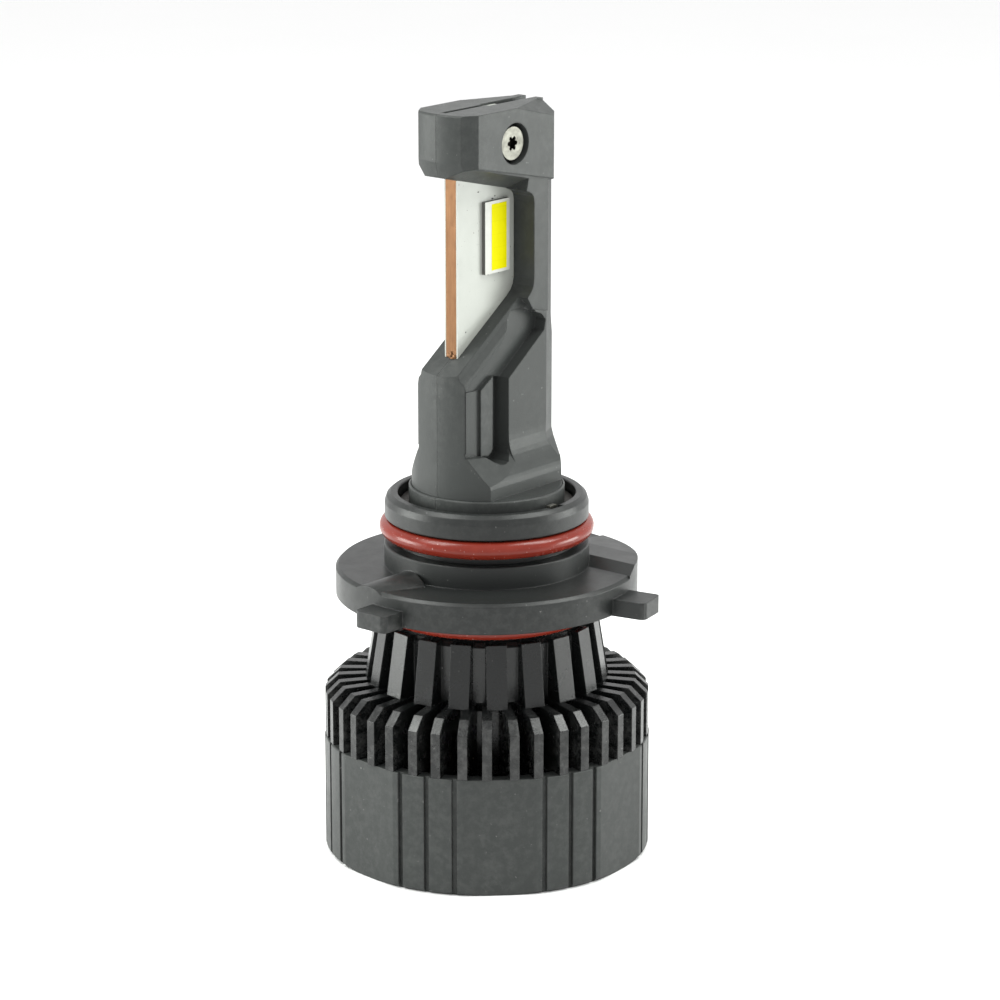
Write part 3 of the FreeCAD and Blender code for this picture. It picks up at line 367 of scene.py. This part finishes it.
def solder_marks(where, side, seed):
    """Solder blobs about the ends of the light package; side is -1 for the front face, 1 for the rear."""
    package_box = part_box("led_package_" + where)
    board_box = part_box("led_board_" + where)
    face = (board_box[0][1] if side < 0 else board_box[1][1]) / MM
    proud = face + 0.01 * side
    left, right = package_box[0][0] / MM, package_box[1][0] / MM
    low, high = package_box[0][2] / MM, package_box[1][2] / MM
    spots = [((left + 1.5, proud, high + 0.14), (0.15, 0.05, 0.08)),
             ((left + 0.9, proud, low - 0.12), (0.13, 0.05, 0.07)),
             ((right - 1.2, proud, low - 0.12), (0.10, 0.05, 0.07)),
             ((left - 0.5, face, high + 1.05), (0.12, 0.04, 0.06)),
             ((right - 1.7, face, high + 0.35), (0.07, 0.04, 0.07)),
             ((left - 2.4, face, low - 5.2), (0.08, 0.04, 0.08))]
    name = "solder_marks_" + where
    piece(name, lumps(name, spots, seed), "electronics")


BURR_Z = 21.3


def copper_burr():
    """The torn, reddish foot of the copper core's bare edge, where the window's lower edge meets it."""
    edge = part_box("copper_core")[0][0] / MM
    spots = [((edge + 0.02, -0.34, BURR_Z + 0.15), (0.13, 0.26, 0.30)),
             ((edge + 0.02, 0.02, BURR_Z + 0.3), (0.15, 0.22, 0.38)),
             ((edge + 0.03, 0.33, BURR_Z + 0.2), (0.12, 0.24, 0.26)),
             ((edge, -0.10, BURR_Z), (0.18, 0.42, 0.18))]
    piece("copper_burr", lumps("copper_burr", spots, 9), "copper")


solder_marks("front", side=-1, seed=3)
solder_marks("rear", side=1, seed=4)
copper_burr()


# ---------------------------------------------------------------- stage, light and camera
FLOOR_Z = cad_box[0][2]
FLOOR_HALF = 3.0


def floor_paint():
    """Near-white paper, very slightly uneven."""
    paint = Paint("floor")
    paint.color(paint.mix(paint.noise(40.0, 2), (0.93, 0.93, 0.93), (0.91605, 0.91605, 0.91605)))
    return paint.set(Roughness=0.7, Specular_IOR_Level=0.2)


floor_mesh = bpy.data.meshes.new("floor")
corners = [(x * FLOOR_HALF, y * FLOOR_HALF, FLOOR_Z) for x, y in ((-1, -1), (1, -1), (1, 1), (-1, 1))]
floor_mesh.from_pydata(corners, [], [(0, 1, 2, 3)])
floor = bpy.data.objects.new("floor", floor_mesh)
floor_mesh.materials.append(floor_paint())
bpy.context.scene.collection.objects.link(floor)

world = bpy.data.worlds.new("studio")
world.use_nodes = True
world.node_tree.nodes["Background"].inputs["Color"].default_value = (1.0, 1.0, 1.0, 1)
world.node_tree.nodes["Background"].inputs["Strength"].default_value = 1.0
bpy.context.scene.world = world

# The camera's heading over the floor, and the direction to its right.
AWAY = Vector((0.766, 0.643, 0.0)).normalized()
RIGHT = Vector((0.643, -0.766, 0.0)).normalized()
LIGHT_COLOR = (0.97, 1.0, 0.965)


def seen(right, toward, up):
    """A point from the object's middle: to the camera's right, toward the camera, and up."""
    return RIGHT * right - AWAY * toward + Vector((0, 0, up))


def area_light(name, spot, aim, width, height, power):
    """A soft box of the given size in metres and power in watts, turned to its aim."""
    data = bpy.data.lights.new(name, "AREA")
    data.shape = "RECTANGLE"
    data.size = width
    data.size_y = height
    data.energy = power
    data.color = LIGHT_COLOR
    light = bpy.data.objects.new(name, data)
    light.location = spot
    light.rotation_euler = (aim - spot).to_track_quat("-Z", "Y").to_euler()
    bpy.context.scene.collection.objects.link(light)


middle = Vector((0, 0, 0.005))
area_light("left_box", seen(-0.38, -0.01, 0.02), middle, width=0.20, height=0.20, power=1.5)
area_light("right_box", seen(0.38, -0.04, 0.0), middle, width=0.20, height=0.18, power=1.25)
area_light("floor_left", seen(-0.15, 0.03, 0.22), seen(-0.11, 0.0, FLOOR_Z),
           width=0.10, height=0.16, power=0.50)
area_light("floor_right", seen(0.15, 0.0, 0.22), seen(0.11, 0.0, FLOOR_Z),
           width=0.10, height=0.16, power=0.50)

PITCH = math.radians(15.39)
CAMERA_SPOT = (-0.2733, -0.2311, 0.1047)
camera_data = bpy.data.cameras.new("camera")
camera_data.lens = 137.5
camera_data.sensor_width = 36.0
camera_data.clip_end = 20.0
camera = bpy.data.objects.new("camera", camera_data)
view = AWAY * math.cos(PITCH) - Vector((0, 0, 1)) * math.sin(PITCH)
back = -view
up = back.cross(RIGHT)
turn = Matrix((RIGHT, up, back)).transposed()
camera.matrix_world = Matrix.Translation(CAMERA_SPOT) @ turn.to_4x4()
bpy.context.scene.collection.objects.link(camera)
bpy.context.scene.camera = camera

bpy.context.scene.view_settings.view_transform = "Standard"
